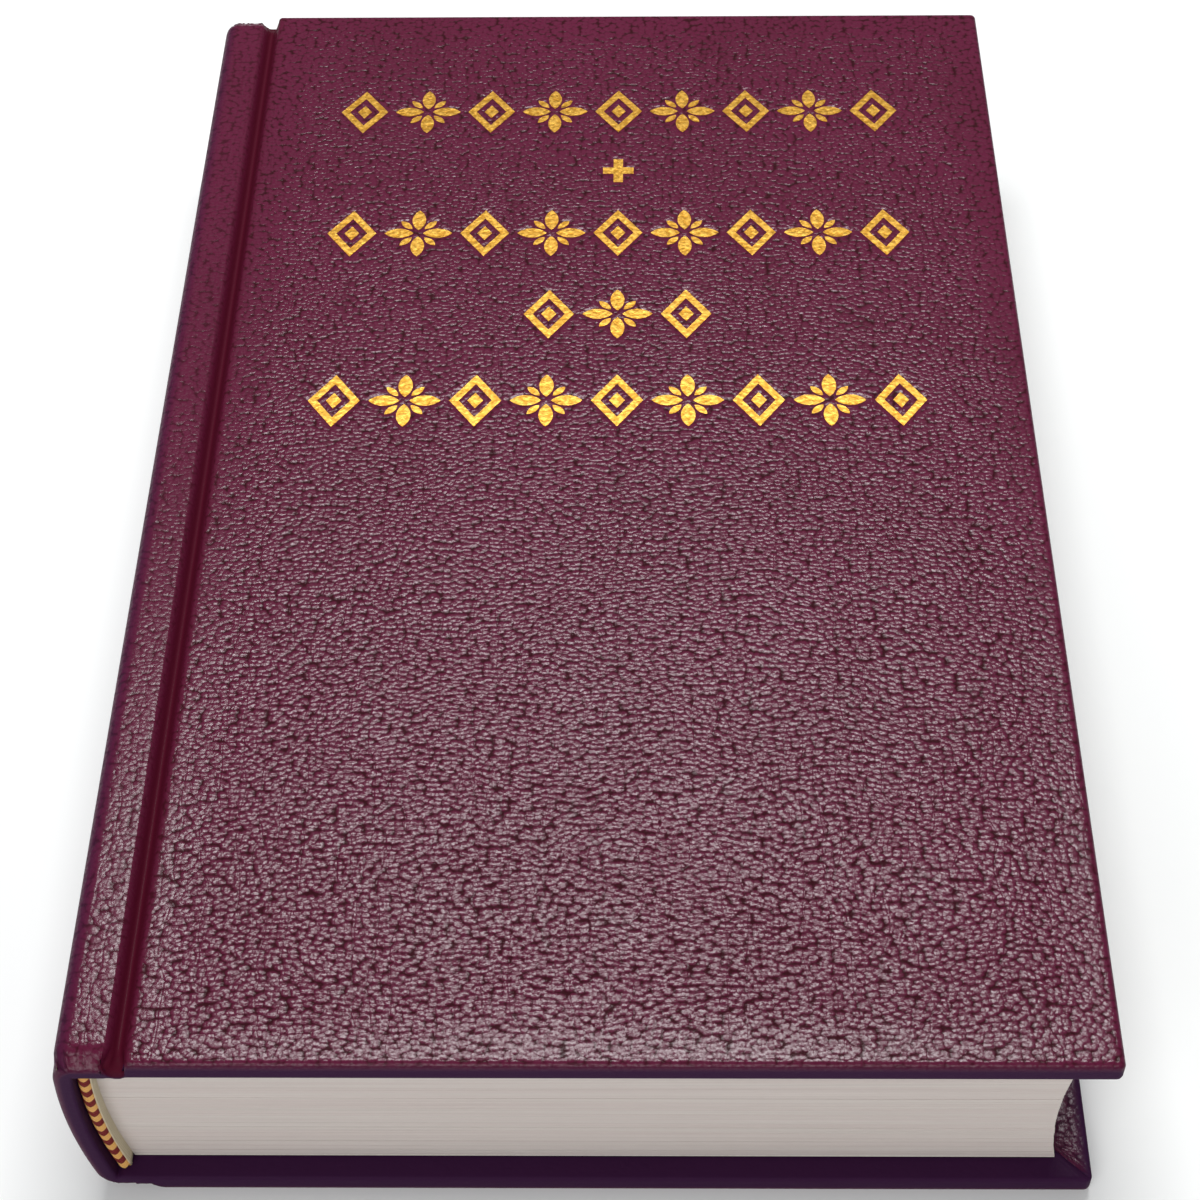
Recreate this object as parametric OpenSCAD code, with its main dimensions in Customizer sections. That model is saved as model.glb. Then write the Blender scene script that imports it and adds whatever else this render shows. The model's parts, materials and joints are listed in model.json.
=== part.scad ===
// A case-bound prayer book, lying on its back cover.
// X runs from the spine to the fore-edge, Y from the tail to the head, and Z up through the pages.
// The origin is the middle of the footprint, on the surface that the book lies on.

/* [Covers] */
// Height of a cover with its leather
cover_h = 200; // [150:1:260]
// Width of a cover with its leather, from the joint to the fore-edge
cover_w = 117; // [90:1:180]
// Thickness of a bare board
board_t = 2; // [1.5:0.1:3]
// Radius of a cover's corners, seen from above
cover_corner_r = 0.9; // [0.8:0.1:3]
// Radius along the leather edges of a cover
cover_edge_r = 0.8; // [0.4:0.1:1.2]

/* [Leather] */
// Thickness of the leather
leather_t = 0.6; // [0.4:0.05:0.9]
// Thickness of the pared leather that is turned in
turn_in_t = 0.5; // [0.3:0.05:0.8]
// Width of the leather that is turned in
turn_in_w = 15; // [10:1:20]

/* [Spine and joints] */
// Distance from the covers to the outermost line of the spine
spine_w = 9.9; // [8.5:0.1:14]
// Radius of the rounded spine
spine_r = 90; // [60:1:200]
// Height of the spine's outermost line above the middle of the book
spine_lean = 4.5; // [0:0.5:6]
// Radius where the spine turns over its shoulders
shoulder_r = 2.2; // [2:0.1:3]
// Thickness of the card that stiffens the spine
inlay_t = 1.35; // [0.8:0.05:1.4]
// Width of the groove between the spine and a cover
joint_w = 3.2; // [2.6:0.1:4]
// Depth of the groove
joint_depth = 1.5; // [1:0.1:2]

/* [Text block] */
// Number of sewn sections
sections = 20; // [12:1:26]
// Thickness of a section
section_t = 1.22; // [0.9:0.02:1.6]
// How far the covers stand past the pages at head and tail
square_h = 3.1; // [2:0.1:5]
// How far the covers stand past the pages where their fore-edge is hollowed most
square_f = 5.6; // [4:0.1:8]
// Radius of the hollow fore-edge
fore_r = 58; // [50:1:200]
// Distance from the middle of the book down to the deepest line of the hollow
hollow_drop = 1.5; // [0:0.1:3]
// Sections that turn with the front cover
front_turning = 5; // [2:1:5]
// Sections that turn with the back cover
back_turning = 3; // [2:1:5]
// Distance from a joint to where the turning leaves bend
bend_w = 8; // [7:0.5:12]

/* [Endpapers and spine linings] */
// Thickness of the endpapers
endpaper_t = 0.2; // [0.15:0.05:0.3]
// How far a pastedown stays inside the edges of its cover
pastedown_inset = 5; // [2:0.1:8]
// Thickness of the mull and of the kraft lining
lining_t = 0.25; // [0.15:0.05:0.3]
// Width of the mull that is glued on each board
mull_flap_w = 25; // [15:1:35]
// How far the mull stops short of the head and the tail
mull_end = 14; // [12:1:25]

/* [Headbands] */
// Diameter of a headband's bead
headband_d = 1.8; // [1.4:0.1:2.2]
// How far a bead stands past the pages
headband_rise = 2; // [0.8:0.1:2.4]
// Height of the tape that holds a bead
headband_tape_h = 10; // [6:1:11]

/* [Sewing] */
// Number of sewing stations along the folds
stations = 5; // [3:1:7]
// Diameter of the sewing thread
thread_d = 0.4; // [0.3:0.05:0.5]

/* [Gilding] */
// Thickness of the gold, set flush in the leather
gold_t = 0.08; // [0.05:0.01:0.2]
// Height of the tooled motifs
tool_h = 10.5; // [7:0.5:11]
// Distance between the motifs in a row
tool_pitch = 10.3; // [9.5:0.1:13]
// Least distance from a row to the sides of the cover
row_margin = 12; // [8:1:25]
// How far the rows stand from the middle of the cover toward the joint
row_shift = 1.5; // [0:0.1:4]
// Distance from the head to the middle of the top row
top_row_drop = 25.5; // [12:0.5:40]
// Distance from the top row down to the second row
second_row_drop = 29.3; // [24:0.1:35]
// Distance between the three lower rows
row_pitch = 18.1; // [13:0.1:20]
// Number of motifs in the short row
short_row_tools = 3; // [1:2:5]
// Height of the small cross, halfway between the first two rows
cross_h = 5.5; // [3:0.5:7]
// Width of the gold lines in the motifs
gold_line_w = 1.1; // [0.8:0.1:1.4]

/* [Hidden] */
// Clearance between leaves that turn apart
leaf_gap = 0.05;
// Steps across the groove
groove_steps = 12;
// Steps round a corner
corner_steps = 6;
// Least distance between two points of a rounded line
level_gap = 0.001;
// Clearance round a headband's bead
bead_gap = 0.05;
// Gap between the leaves that turn and their sewn folds
gutter_gap = 0.3;
// How much wider and deeper a saw cut is than its thread
kerf_gap = 0.3;

cover_t = leather_t + board_t + turn_in_t;
case_back_t = leather_t + inlay_t + turn_in_t;
// Distance from the spine's outermost line to the folds of the sections
back_w = case_back_t + headband_d + 2 * bead_gap;
leaf_t = endpaper_t + leaf_gap;
text_bottom = cover_t + 2 * leaf_t;
text_top = text_bottom + sections * section_t;
book_t = text_top + text_bottom;
book_w = cover_w + spine_w;
block_h = cover_h - 2 * square_h;

spine_x = -book_w / 2;
joint_x = spine_x + spine_w;
fore_x = book_w / 2;
hinge_x = joint_x - joint_w / 2;
bend_x = hinge_x + bend_w;
// Centre of the circle that the rounded spine follows
round_x = spine_x + spine_r;
round_z = book_t / 2 + spine_lean;
hollow_z = book_t / 2 - hollow_drop;

shoulder_x = joint_x - joint_w;
station_pitch = block_h / (stations + 1);
kerf = thread_d + kerf_gap;

FRONT = 1;
BACK = -1;

// Motifs that fit in a full row: an odd number, so that a row is symmetric
row_tools = 1 + 2 * floor((cover_w - 2 * row_margin - tool_h) / tool_pitch / 2);
// Each row's distance from the head, and its number of motifs
rows = [
    [top_row_drop, row_tools],
    [top_row_drop + second_row_drop, row_tools],
    [top_row_drop + second_row_drop + row_pitch, short_row_tools],
    [top_row_drop + second_row_drop + 2 * row_pitch, row_tools]
];

function digits(k) = k < 10 ? str("0", k) : str(k);

// ---- curves ----

// Points on an arc about c, from angle a to angle b
function arc(c, r, a, b) =
    [for (i = [0:corner_steps]) let (t = a + (b - a) * i / corner_steps) c + r * [cos(t), sin(t)]];

// X of the rounded spine's line that lies inset inside the outer face, at height z
function round_line(z, inset) = round_x - sqrt(pow(spine_r - inset, 2) - pow(z - round_z, 2));

// Heights at which every rounded piece has its points, so that touching pieces meet all along
function levels(z0, z1) = concat(
    [z0],
    [for (k = [0:2 * sections]) let (z = text_bottom + k * section_t / 2)
        if (z > z0 + level_gap && z < z1 - level_gap) z],
    [z1]
);

function reversed(list) = [for (i = [len(list) - 1:-1:0]) list[i]];

// Points of the rounded line at an inset, from height z0 to z1
function round_points(inset, z0, z1) = [for (z = levels(z0, z1)) [round_line(z, inset), z]];

// X of the hollow fore-edge at height z
function fore_line(z) = fore_x - square_f + fore_r - sqrt(pow(fore_r, 2) - pow(z - hollow_z, 2));

// A strip that follows the rounded spine between two insets and two heights
function round_strip(inset_out, inset_in, z0, z1) =
    concat(round_points(inset_out, z0, z1), reversed(round_points(inset_in, z0, z1)));

// Region inside the case's spine at an inset from its leather face, closed at the shoulders' edge
function spine_region(inset, right_x) =
    let (
        r = shoulder_r,
        top_z = book_t - r,
        bottom_z = r,
        top_c = [round_line(top_z, r), top_z],
        bottom_c = [round_line(bottom_z, r), bottom_z],
        top_a = 180 - asin((top_z - round_z) / (spine_r - r)),
        bottom_a = 180 - asin((bottom_z - round_z) / (spine_r - r)),
        touch_top_z = round_z + (spine_r - inset) * sin(top_a),
        touch_bottom_z = round_z + (spine_r - inset) * sin(bottom_a)
    )
    concat(
        [[right_x, book_t - inset]],
        arc(top_c, r - inset, 90, top_a),
        reversed(round_points(inset, touch_bottom_z + level_gap, touch_top_z - level_gap)),
        arc(bottom_c, r - inset, bottom_a, 270),
        [[right_x, inset]]
    );

// ---- helpers ----

// Extrudes an outline drawn in X and Z along Y, from y0 to y1
module along_y(y0, y1) {
    translate([0, y1, 0]) rotate([90, 0, 0]) linear_extrude(y1 - y0) children();
}

// A box given by its low and high corners
module span(low, high) {
    translate(low) cube(high - low);
}

// Turns a front piece into the matching back piece
module on_side(side) {
    if (side == FRONT) children();
    else translate([0, 0, book_t]) mirror([0, 0, 1]) children();
}

// Rectangle from low to high with rounded corners
module soft_rectangle(low, high, r) {
    polygon(concat(
        arc([high[0] - r, high[1] - r], r, 0, 90),
        arc([low[0] + r, high[1] - r], r, 90, 180),
        arc([low[0] + r, low[1] + r], r, 180, 270),
        arc([high[0] - r, low[1] + r], r, 270, 360)
    ));
}

// ---- covers: each is drawn as the front one, face up ----

cover_low = [joint_x, -cover_h / 2, book_t - cover_t];
cover_high = [fore_x, cover_h / 2, book_t];

// Outside of a cover, with its edges rounded
module cover_outside() {
    intersection() {
        along_y(cover_low[1], cover_high[1])
            soft_rectangle([cover_low[0], cover_low[2]], [cover_high[0], cover_high[2]], cover_edge_r);
        translate([cover_low[0], 0, 0]) rotate([90, 0, 90]) linear_extrude(cover_w)
            soft_rectangle([cover_low[1], cover_low[2]], [cover_high[1], cover_high[2]], cover_edge_r);
        translate([0, 0, cover_low[2]]) linear_extrude(cover_t)
            soft_rectangle([cover_low[0], cover_low[1]], [cover_high[0], cover_high[1]], cover_corner_r);
    }
}

module board_shape() {
    span(
        cover_low + [leather_t, leather_t, turn_in_t],
        cover_high - [leather_t, leather_t, leather_t]
    );
}

module board(side) {
    color("tan") on_side(side) board_shape();
}

module leather(side) {
    color([0.32, 0.07, 0.17]) on_side(side) difference() {
        cover_outside();
        board_shape();
        // The inside of the cover, left open between the turn-ins
        span(
            [joint_x - 1, cover_low[1] + turn_in_w, cover_low[2] - 1],
            [fore_x - turn_in_w, cover_high[1] - turn_in_w, cover_low[2] + turn_in_t]
        );
        if (side == FRONT) gilding_shape(1);
    }
}

// The leather that crosses the groove and works as the hinge
module joint_leather(side) {
    top = [for (i = [0:groove_steps]) let (s = i / groove_steps)
        [shoulder_x + s * joint_w, book_t - joint_depth * (1 - cos(360 * s)) / 2]];
    under = [for (i = [groove_steps:-1:0]) top[i] - [0, leather_t]];
    color([0.28, 0.06, 0.15]) on_side(side)
        along_y(cover_low[1] + cover_edge_r, cover_high[1] - cover_edge_r)
            polygon(concat(top, under));
}

module mull_flap_shape() {
    span(
        [joint_x + leather_t, mull_end - block_h / 2, book_t - cover_t + turn_in_t - lining_t],
        [joint_x + mull_flap_w, block_h / 2 - mull_end, book_t - cover_t + turn_in_t]
    );
}

module mull_flap(side) {
    color("ivory") on_side(side) mull_flap_shape();
}

// The paper glued inside a cover; with its paste it fills the step down to the board
module pastedown(side) {
    low_z = book_t - cover_t - endpaper_t;
    color("white") on_side(side) difference() {
        union() {
            span(
                [joint_x + leather_t, pastedown_inset - cover_h / 2, low_z],
                [fore_x - pastedown_inset, cover_h / 2 - pastedown_inset, low_z + endpaper_t]
            );
            span(
                [joint_x + leather_t, turn_in_w - cover_h / 2, low_z],
                [fore_x - turn_in_w, cover_h / 2 - turn_in_w, book_t - cover_t + turn_in_t]
            );
        }
        mull_flap_shape();
    }
}

// ---- gilding: tooled motifs ----

// A lozenge with its point up; its width is flat times its height
module lozenge(h, flat) {
    polygon([[0, h / 2], [flat * h / 2, 0], [0, -h / 2], [-flat * h / 2, 0]]);
}

// A hollow lozenge round a small solid one
module lozenge_tool(h) {
    flat = 0.72;
    heart = 0.3 * h;
    // The height that a line of gold_line_w takes up on a sloping side
    line_h = 2 * gold_line_w * sqrt(1 + 1 / (flat * flat));
    difference() {
        lozenge(h, flat);
        lozenge(h - line_h, flat);
    }
    lozenge(heart, flat);
}

// A pointed petal that stands on the origin, where two circles overlap
module petal(h, w) {
    r = (h * h + w * w) / (4 * w);
    intersection() {
        translate([r - w / 2, h / 2]) circle(r = r, $fn = 96);
        translate([w / 2 - r, h / 2]) circle(r = r, $fn = 96);
    }
}

// Four long petals with four short ones between them, round an open middle
module flower_tool(h) {
    start = [0.07 * h, 0.13 * h];
    length = [0.43 * h, 0.24 * h];
    width = [0.2 * h, 0.1 * h];
    for (a = [0:90:270], k = [0, 1])
        rotate(a + 45 * k) translate([0, start[k]]) petal(length[k], width[k]);
}

module cross_tool(h) {
    stroke = 0.27 * h;
    arm = 0.88 * h;
    square([stroke, h], center = true);
    square([arm, stroke], center = true);
}

// The tooled rows; extra makes them deeper than the gold, to cut their beds in the leather
module gilding_shape(extra) {
    middle_x = joint_x + cover_w / 2 - row_shift;
    translate([middle_x, cover_h / 2, book_t - gold_t]) linear_extrude(gold_t + extra) {
        for (row = rows)
            for (i = [0:row[1] - 1])
                translate([(i - (row[1] - 1) / 2) * tool_pitch, -row[0]])
                    if (i % 2 == 0) lozenge_tool(tool_h);
                    else flower_tool(tool_h);
        translate([0, -top_row_drop - second_row_drop / 2]) cross_tool(cross_h);
    }
}

module gilding() {
    color("gold") gilding_shape(0);
}

// ---- text block ----

// Thin saw cuts across the folds, where the thread runs
module kerfs() {
    for (i = [1:stations])
        translate([0, i * station_pitch - block_h / 2, 0])
            along_y(-kerf / 2, kerf / 2) polygon(round_strip(back_w - kerf, back_w + kerf, 0, book_t));
}

// Pages between two heights, from the folds to the fore-edge
module pages(z0, z1) {
    folds = round_points(back_w, z0, z1);
    fore_edge = [for (z = levels(z0, z1)) [fore_line(z), z]];
    along_y(-block_h / 2, block_h / 2) polygon(concat(folds, reversed(fore_edge)));
}

// Height of the bottom of a section; section 1 is under the front cover
function section_z(k) = text_top - k * section_t;

module section(k) {
    z = section_z(k);
    turning = k <= front_turning || k > sections - back_turning;
    color([0.93, 0.91, 0.86]) difference() {
        pages(z, z + section_t - (turning ? leaf_gap : 0));
        if (turning) span([spine_x - 1, -block_h, 0], [bend_x, block_h, book_t]);
        else kerfs();
    }
}

module flyleaf_shape(side) {
    if (side == FRONT) pages(text_top + leaf_gap, text_top + leaf_gap + endpaper_t);
    else pages(text_bottom - leaf_gap - endpaper_t, text_bottom - leaf_gap);
}

module flyleaf(side) {
    color("white") difference() {
        flyleaf_shape(side);
        span([spine_x - 1, -block_h, 0], [bend_x, block_h, book_t]);
    }
}

// The folded inner edges of the leaves that turn; they stay sewn to the spine
module sewn_gutter(side) {
    turning = side == FRONT ? [1:front_turning] : [sections - back_turning + 1:sections];
    color([0.9, 0.88, 0.82]) difference() {
        union() {
            for (k = turning) pages(section_z(k), section_z(k) + section_t - leaf_gap);
            flyleaf_shape(side);
        }
        span([bend_x - gutter_gap, -block_h, 0], [fore_x + 1, block_h, book_t]);
        kerfs();
    }
}

// ---- spine ----

// Link stitches, one chain over the folds at each station
module sewing_thread() {
    outset = back_w + kerf_gap / 2;
    color("white") for (i = [1:stations])
        translate([0, i * station_pitch - block_h / 2, 0]) along_y(-thread_d / 2, thread_d / 2)
            polygon(round_strip(outset, outset + thread_d, text_bottom, text_top));
}

module spine_mull() {
    color("ivory") along_y(mull_end - block_h / 2, block_h / 2 - mull_end)
        polygon(round_strip(back_w - lining_t, back_w, text_bottom - leaf_t, text_top + leaf_t));
}

module kraft_lining() {
    color("peru") along_y(headband_d - block_h / 2, block_h / 2 - headband_d)
        polygon(round_strip(back_w - 2 * lining_t, back_w - lining_t, text_bottom, text_top));
}

// A bead along the pages' edge, on a tape that is glued over the folds
module headband(end) {
    bead_r = headband_d / 2;
    path_r = spine_r - case_back_t - bead_gap - bead_r;
    low_a = 180 - asin((text_bottom - leaf_t - round_z) / path_r);
    high_a = 180 - asin((text_top + leaf_t - round_z) / path_r);
    bead_y = block_h / 2 + headband_rise - bead_r;
    color("darkred") mirror([0, end < 0 ? 1 : 0, 0]) {
        translate([round_x, bead_y, round_z]) rotate([90, 0, 0])
            rotate([0, 0, high_a]) rotate_extrude(angle = low_a - high_a, $fn = 360)
                translate([path_r, 0]) circle(r = bead_r, $fn = 24);
        along_y(block_h / 2 - headband_tape_h, bead_y)
            polygon(round_strip(back_w - lining_t, back_w, text_bottom, text_top));
    }
}

module spine_leather() {
    color([0.3, 0.06, 0.16]) along_y(-cover_h / 2, cover_h / 2) difference() {
        polygon(spine_region(0, shoulder_x));
        polygon(spine_region(leather_t, shoulder_x + 1));
    }
}

module spine_inlay() {
    color("tan") along_y(leather_t - cover_h / 2, cover_h / 2 - leather_t) difference() {
        polygon(spine_region(leather_t, shoulder_x - leather_t));
        polygon(spine_region(leather_t + inlay_t, shoulder_x + 1));
    }
}

// Leather folded over the ends of the inlay, head and tail
module spine_turn_ins() {
    color([0.26, 0.06, 0.15]) for (end = [0, 1]) mirror([0, end, 0]) {
        along_y(cover_h / 2 - turn_in_w, cover_h / 2 - leather_t) polygon(round_strip(
            leather_t + inlay_t, case_back_t, cover_t, book_t - cover_t));
        along_y(cover_h / 2 - leather_t, cover_h / 2) polygon(round_strip(
            leather_t, case_back_t, cover_t, book_t - cover_t));
    }
}

for (k = [1:sections])
    section(k);
sewn_gutter(FRONT);  // sewn_gutter_front
sewn_gutter(BACK);  // sewn_gutter_back
flyleaf(FRONT);  // front_flyleaf
flyleaf(BACK);  // back_flyleaf
pastedown(FRONT);  // front_pastedown
pastedown(BACK);  // back_pastedown
board(FRONT);  // front_board
board(BACK);  // back_board
leather(FRONT);  // front_leather
leather(BACK);  // back_leather
joint_leather(FRONT);  // front_joint_leather
joint_leather(BACK);  // back_joint_leather
mull_flap(FRONT);  // front_mull_flap
mull_flap(BACK);  // back_mull_flap
spine_leather();
spine_turn_ins();
spine_inlay();
spine_mull();
kraft_lining();
headband(1);  // headband_head
headband(-1);  // headband_tail
sewing_thread();
gilding();  // front_gilding
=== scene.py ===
"""The looks of a leather-bound prayer book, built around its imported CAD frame.

The frame's axes: +X from the spine to the fore-edge, +Y from the tail to the head, +Z up.
Shapes are worked out in millimetres and go into their meshes in metres.
"""
import json
import math
import random

import bpy
import numpy as np
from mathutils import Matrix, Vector
from mathutils.bvhtree import BVHTree


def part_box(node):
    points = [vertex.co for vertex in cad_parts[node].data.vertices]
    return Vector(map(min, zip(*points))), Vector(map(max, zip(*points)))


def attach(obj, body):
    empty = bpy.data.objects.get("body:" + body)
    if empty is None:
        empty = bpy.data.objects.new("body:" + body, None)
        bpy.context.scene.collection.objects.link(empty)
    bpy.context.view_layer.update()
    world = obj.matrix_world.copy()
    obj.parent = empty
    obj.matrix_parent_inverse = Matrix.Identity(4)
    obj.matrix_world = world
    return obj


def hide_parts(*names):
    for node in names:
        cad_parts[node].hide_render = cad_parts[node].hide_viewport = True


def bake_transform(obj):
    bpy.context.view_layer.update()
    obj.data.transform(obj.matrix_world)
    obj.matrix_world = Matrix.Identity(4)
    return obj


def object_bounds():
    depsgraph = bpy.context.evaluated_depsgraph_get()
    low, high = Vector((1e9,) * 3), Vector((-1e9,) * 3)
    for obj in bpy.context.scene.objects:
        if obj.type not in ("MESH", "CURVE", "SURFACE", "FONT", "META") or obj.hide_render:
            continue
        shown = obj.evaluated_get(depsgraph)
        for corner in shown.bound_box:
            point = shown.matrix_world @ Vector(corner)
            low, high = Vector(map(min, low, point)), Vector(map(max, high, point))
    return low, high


MM = 0.001
FRONT, BACK = 1, -1
HEAD, TAIL = 1, -1

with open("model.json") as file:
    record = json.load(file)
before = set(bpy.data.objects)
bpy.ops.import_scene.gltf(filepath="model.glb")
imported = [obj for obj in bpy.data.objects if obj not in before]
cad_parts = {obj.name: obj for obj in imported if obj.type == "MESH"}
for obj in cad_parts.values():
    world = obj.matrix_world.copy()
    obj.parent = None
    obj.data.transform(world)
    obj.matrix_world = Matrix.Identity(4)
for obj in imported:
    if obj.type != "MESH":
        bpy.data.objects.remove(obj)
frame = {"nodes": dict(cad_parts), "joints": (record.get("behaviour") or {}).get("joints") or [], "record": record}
cad_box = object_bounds()


def box_mm(node):
    """The low and high corners of a CAD node, in millimetres."""
    low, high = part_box(node)
    return np.array(low) / MM, np.array(high) / MM


# ---- sizes read from the frame ----
book_low, book_high = (np.array(corner) / MM for corner in cad_box)
cover_low, cover_high = box_mm("front_leather")
joint_x, fore_x = cover_low[0], cover_high[0]
shoulder_x = box_mm("front_joint_leather")[0][0]
spine_x = book_low[0]
book_t = book_high[2]
half_h = book_high[1]
cover_t = cover_high[2] - cover_low[2]
half_block = box_mm("section_10")[1][1]
HINGE_X = frame["joints"][0]["pos_m"][0] / MM

# ---- sizes that part.scad gives by name ----
SPINE_R = 90.0
SPINE_LEAN = 4.5
SHOULDER_R = 2.2
JOINT_DEPTH = 1.5
EDGE_R = 0.8
CORNER_R = 0.9
LEATHER_T = 0.6
TURN_IN_T = 0.5
CASE_BACK_T = 2.45
HEADBAND_D = 1.8
BEAD_GAP = 0.05
FOLD_DEPTH = 4.35
GUTTER_KERF = 0.7
STATIONS = 5

round_x = spine_x + SPINE_R
round_z = book_t / 2 + SPINE_LEAN
groove_w = joint_x - shoulder_x


def smooth(value, low, high):
    """0 below low, 1 above high, and a smooth rise between them."""
    t = np.clip((value - low) / (high - low), 0, 1)
    return t * t * (3 - 2 * t)


def bump_of(value, centre, width):
    """A smooth hill of height 1 round a centre."""
    return np.exp(-(((value - centre) / width) ** 2))


# ---- meshes ----

def new_object(name, points, faces, material=None):
    """A mesh object from points in millimetres."""
    mesh = bpy.data.meshes.new(name)
    mesh.from_pydata((np.asarray(points) * MM).tolist(), [], faces)
    mesh.validate()
    obj = bpy.data.objects.new(name, mesh)
    bpy.context.scene.collection.objects.link(obj)
    if material is not None:
        mesh.materials.append(material)
    return obj


def shade_smooth(obj):
    obj.data.polygons.foreach_set("use_smooth", [True] * len(obj.data.polygons))


def grid_faces(rows, columns, start=0):
    """Quads between the neighbours of a grid of points that is stored row by row."""
    i, j = np.meshgrid(np.arange(rows - 1), np.arange(columns - 1), indexing="ij")
    a = (start + i * columns + j).ravel()
    return np.stack([a, a + columns, a + columns + 1, a + 1], 1).tolist()


def ring_faces(rings, size):
    """Quads between closed rings of points that are stored one after another."""
    sides = [(k * size + j, k * size + (j + 1) % size) for k in range(rings - 1) for j in range(size)]
    return [[a, b, b + size, a + size] for a, b in sides]


def store(obj, name, values):
    """Keeps one number or one vector for each point of a mesh."""
    values = np.asarray(values, np.float32)
    kind, key = ("FLOAT", "value") if values.ndim == 1 else ("FLOAT_VECTOR", "vector")
    attribute = obj.data.attributes.new(name, kind, "POINT")
    attribute.data.foreach_set(key, values.ravel())


# ---- node trees: the same pattern code serves the materials and the geometry ----

DOME_SPREAD = 1.25


class Nodes:
    """Adds linked nodes to a shader or geometry tree."""

    def __init__(self, tree):
        self.tree = tree

    def add(self, kind, inputs=(), **settings):
        node = self.tree.nodes.new(kind)
        for name, value in settings.items():
            setattr(node, name, value)
        for key, value in dict(inputs).items():
            self.put(node.inputs[key], value)
        return node

    def put(self, socket, value):
        if isinstance(value, bpy.types.NodeSocket):
            self.tree.links.new(value, socket)
        else:
            socket.default_value = value

    def math(self, operation, *values, kind="ShaderNodeMath"):
        node = self.tree.nodes.new(kind)
        node.operation = operation
        for socket, value in zip(node.inputs, values):
            self.put(socket, value)
        return node.outputs[0]

    def plus(self, first, second):
        return self.math("ADD", first, second)

    def times(self, first, second):
        return self.math("MULTIPLY", first, second)

    def rest(self, value):
        """What a value lacks to be 1."""
        return self.math("SUBTRACT", 1.0, value)

    def stored(self, name, output="Fac"):
        """What the mesh keeps for each point under a name."""
        return self.add("ShaderNodeAttribute", attribute_name=name).outputs[output]

    def vector(self, operation, *values):
        return self.math(operation, *values, kind="ShaderNodeVectorMath")

    def scaled(self, vector, factors):
        return self.vector("MULTIPLY", vector, factors)

    def noise(self, where, scale, detail=2.0, rough=0.5, colour=False):
        node = self.add("ShaderNodeTexNoise", {
            "Vector": where, "Scale": scale, "Detail": detail, "Roughness": rough})
        return node.outputs["Color" if colour else "Fac"]

    def drift(self, where, scale, amount, detail=2.0):
        """Moves a position about by up to half of amount."""
        push = self.vector("SUBTRACT", self.noise(where, scale, detail, colour=True), (0.5,) * 3)
        return self.vector("ADD", where, self.scaled(push, (amount,) * 3))

    def domes(self, where, scale):
        """Rounded pebbles that meet in creases: 1 on their tops and about 0 between them."""
        node = self.add("ShaderNodeTexVoronoi", {"Vector": where, "Scale": scale, "Randomness": 0.9},
                        voronoi_dimensions="2D", feature="F1")
        reach = self.times(node.outputs["Distance"], DOME_SPREAD)
        return self.rest(self.times(reach, reach))

    def span(self, value, low, high, to_low=0.0, to_high=1.0):
        """A smooth step: to_low up to low, and to_high from high on."""
        node = self.add("ShaderNodeMapRange", {
            "Value": value, "From Min": low, "From Max": high,
            "To Min": to_low, "To Max": to_high}, interpolation_type="SMOOTHSTEP")
        return node.outputs["Result"]

    def tint(self, factor, first, second):
        """Mix of two colours."""
        node = self.add("ShaderNodeMix", data_type="RGBA")
        for key, value in (("Factor", factor), ("A", first), ("B", second)):
            self.put(next(s for s in node.inputs if s.name == key and s.enabled), value)
        return next(s for s in node.outputs if s.enabled)


def linear(red, green, blue):
    """A colour given as 0-255 screen values."""
    def one(v):
        v /= 255
        return v / 12.92 if v <= 0.04045 else ((v + 0.055) / 1.055) ** 2.4
    return (one(red), one(green), one(blue), 1.0)


def new_material(name, **shader):
    """A material with a Principled shader, its Nodes helper, and the shader node."""
    material = bpy.data.materials.new(name)
    material.use_nodes = True
    n = Nodes(material.node_tree)
    bsdf = material.node_tree.nodes["Principled BSDF"]
    for key, value in shader.items():
        bsdf.inputs[key.replace("_", " ")].default_value = value
    return material, n, bsdf


def set_colour(n, bsdf, factor, first, second):
    n.put(bsdf.inputs["Base Color"], n.tint(factor, first, second))


def set_bump(n, bsdf, height, distance_mm):
    bump = n.add("ShaderNodeBump", {"Distance": distance_mm * MM, "Height": height})
    n.put(bsdf.inputs["Normal"], bump.outputs["Normal"])


def object_mm(n):
    """Position on the piece, in millimetres."""
    coordinates = n.add("ShaderNodeTexCoord")
    return n.scaled(coordinates.outputs["Object"], (1 / MM,) * 3)


# ---- the leather's grain ----

# widths of the pebbles, and shares of the relief
PEBBLE = 0.85
FINE_PEBBLE = 0.42
PEBBLE_STRETCH = (0.9, 1.15, 1.0)
FINE_SHARE = 0.12
MOTTLE_SHARE = 0.18
FURROW_SCALE = (0.3, 0.018, 1.0)
FURROW_W = 0.03
FURROW_FLOOR = 0.78


def grain_height(n, where):
    """Pebbled grain: near 1 on the pebbles' tops and near 0 in the creases, where in millimetres."""
    lean = n.drift(where, scale=0.05, amount=3.0, detail=1.0)
    bent = n.drift(lean, scale=1.1, amount=0.3, detail=2.0)
    pebbles = n.domes(n.scaled(bent, PEBBLE_STRETCH), 1 / PEBBLE)
    fine = n.domes(n.drift(bent, scale=2.4, amount=0.2), 1 / FINE_PEBBLE)
    swell = n.noise(where, scale=0.42, detail=2.0)
    mottle = n.noise(where, scale=1.6, detail=1.0)
    height = n.times(pebbles, n.span(swell, low=0.25, high=0.7, to_low=0.56, to_high=0.7))
    height = n.plus(height, n.times(fine, FINE_SHARE))
    height = n.plus(height, n.times(mottle, MOTTLE_SHARE))
    return n.times(height, furrows(n, where))


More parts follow.
